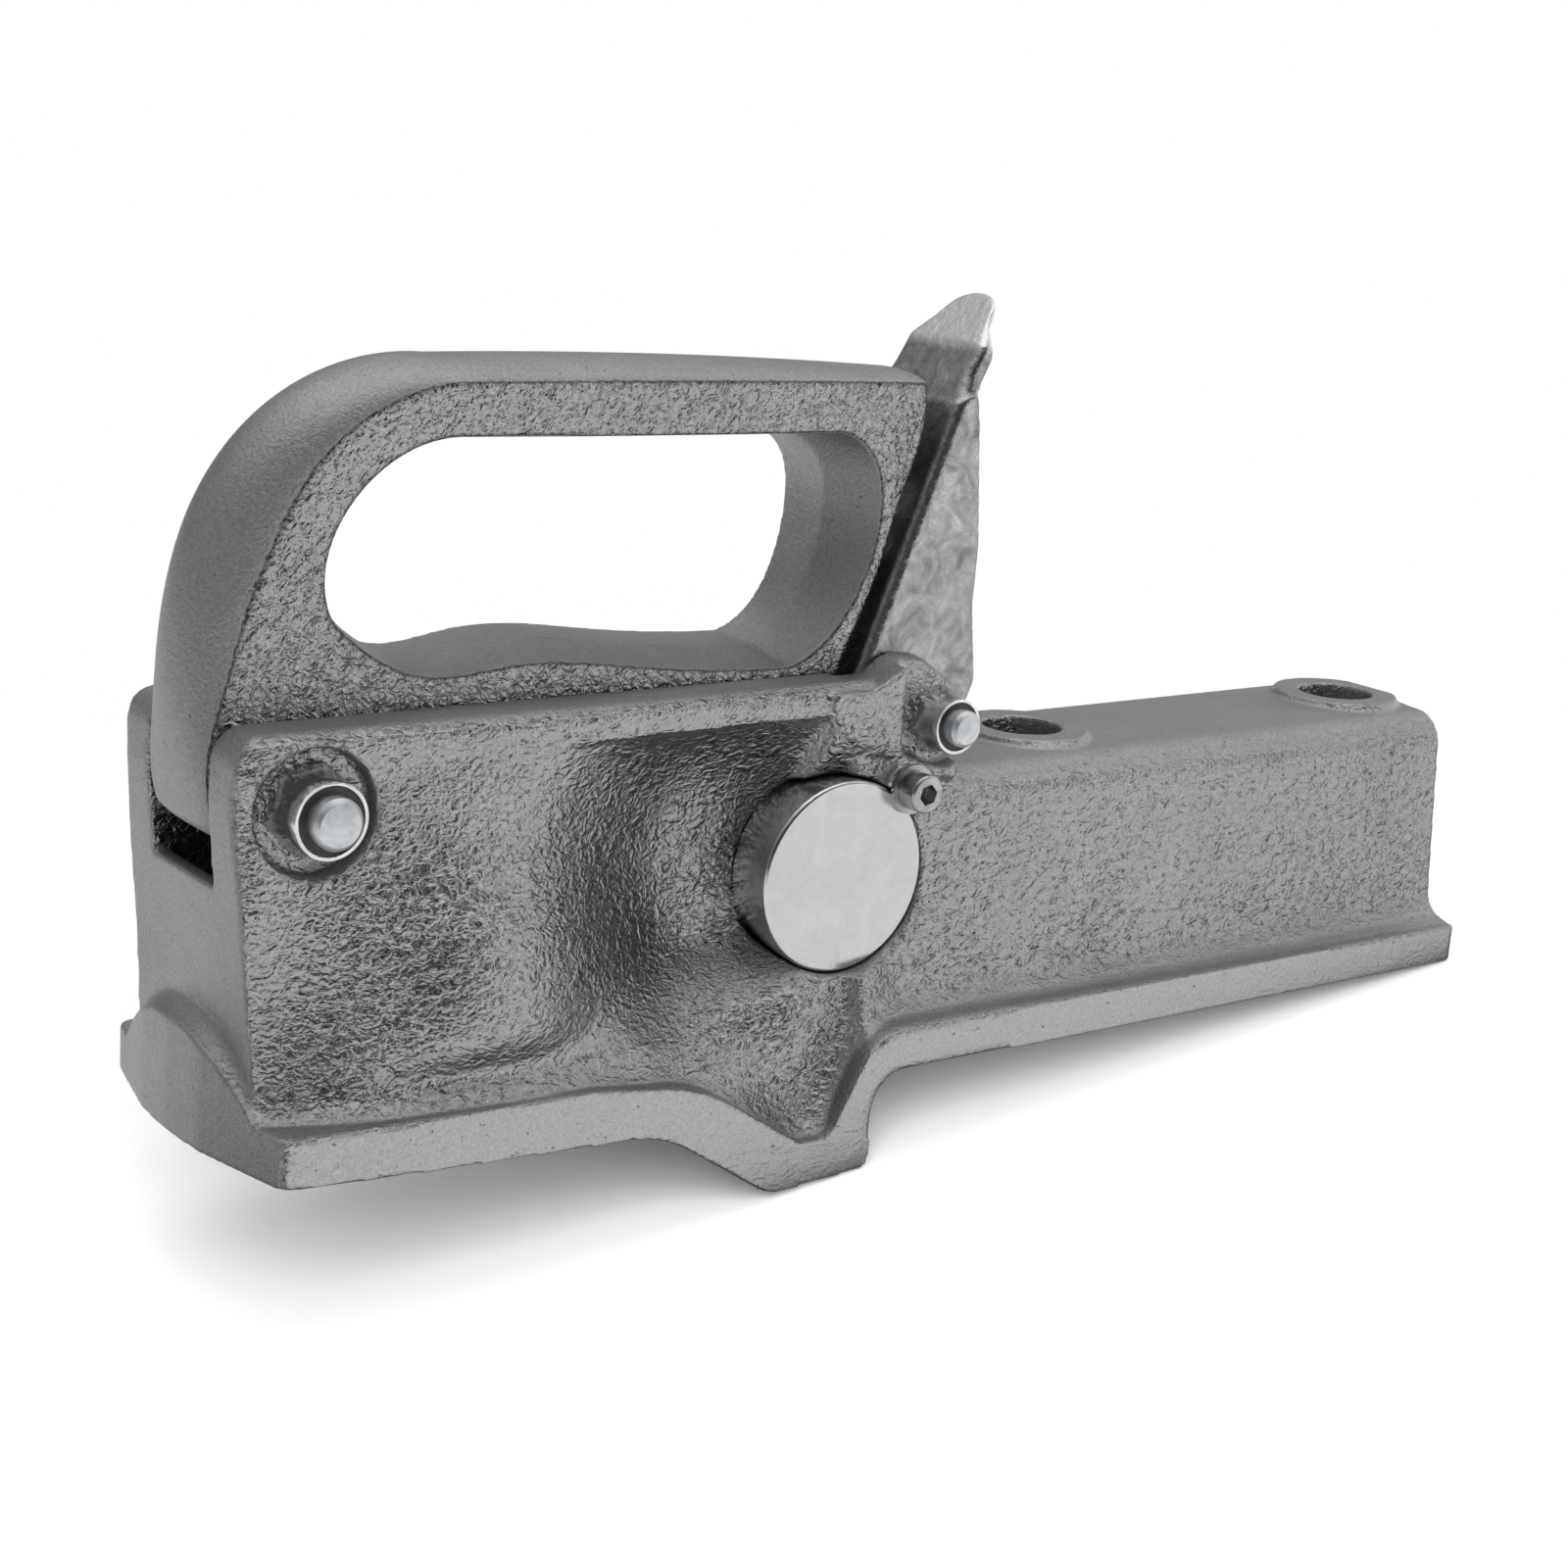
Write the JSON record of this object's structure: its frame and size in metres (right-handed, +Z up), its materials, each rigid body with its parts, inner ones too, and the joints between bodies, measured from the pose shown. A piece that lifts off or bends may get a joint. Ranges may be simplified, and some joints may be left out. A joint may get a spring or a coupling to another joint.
{
  "type": "trailer coupling head",
  "caption": "Cast trailer coupling head for a 50 mm ball, with a loop handle, a sprung thumb latch, a cross pin and an inverted channel for the drawbar.",
  "frame": {"origin": "centre of the ball socket", "axes": "+X to the rear along the drawbar, +Z up along the drawbar bolt holes, -Y the side with the nuts"},
  "size_m": [0.3331, 0.0744, 0.1829],
  "materials": {
    "cast_body": "silver paint over a rough casting",
    "cast_handle": "silver paint over a rough casting",
    "latch_zinc": "mottled zinc plate",
    "zinc_nut": "bright zinc plate",
    "zinc_bolt": "bluish zinc plate",
    "bright_steel": "bright nickel plate with smears",
    "screw_steel": "bright zinc plate",
    "spring_steel": "oiled",
    "jaw_iron": "machined seat",
    "bronze": "satin",
    "black_nylon": "satin"
  },
  "bodies": {
    "housing": {"coupling_body": "cast_body", "handle_pivot_bolt": "zinc_bolt", "handle_pivot_washer": "zinc_nut", "handle_pivot_nut": "zinc_nut", "handle_nut_ring": "black_nylon", "latch_bush": "zinc_nut", "latch_pivot_bolt": "zinc_bolt", "latch_pivot_washer": "zinc_nut", "latch_pivot_nut": "zinc_nut", "latch_nut_ring": "black_nylon", "cross_pin": "bright_steel", "pin_circlip": "spring_steel", "pin_screw": "screw_steel", "pin_washer": "screw_steel", "jaw_spring": "spring_steel"},
    "handle": {"handle": "cast_handle", "handle_bush": "bronze"},
    "latch": {"latch_lever": "latch_zinc", "latch_spring": "spring_steel"},
    "jaw": {"ball_jaw": "jaw_iron", "jaw_bush": "bronze"}
  },
  "joints": [
    {"name": "handle_lift", "type": "hinge", "parent": "housing", "child": "handle", "pos_m": [-0.0332, 0, 0.0379], "axis": [0, -1, 0], "range_deg": [0, 45]},
    {"name": "latch_tip", "type": "hinge", "parent": "housing", "child": "latch", "pos_m": [0.1162, 0, 0.0424], "axis": [0, 1, 0], "range_deg": [0, 27], "stiffness_Nm_per_rad": 0.25, "springref_deg": -20.05, "deforming": ["latch_spring"]},
    {"name": "jaw_open", "type": "hinge", "parent": "housing", "child": "jaw", "pos_m": [0.09, 0, 0.0115], "axis": [0, -1, 0], "range_deg": [0, 20], "deforming": ["jaw_spring"]}
  ],
  "couplings": [
    {"joint": "latch_tip", "follows": "handle_lift", "ratio": 0.6},
    {"joint": "jaw_open", "follows": "handle_lift", "ratio": 0.44}
  ]
}
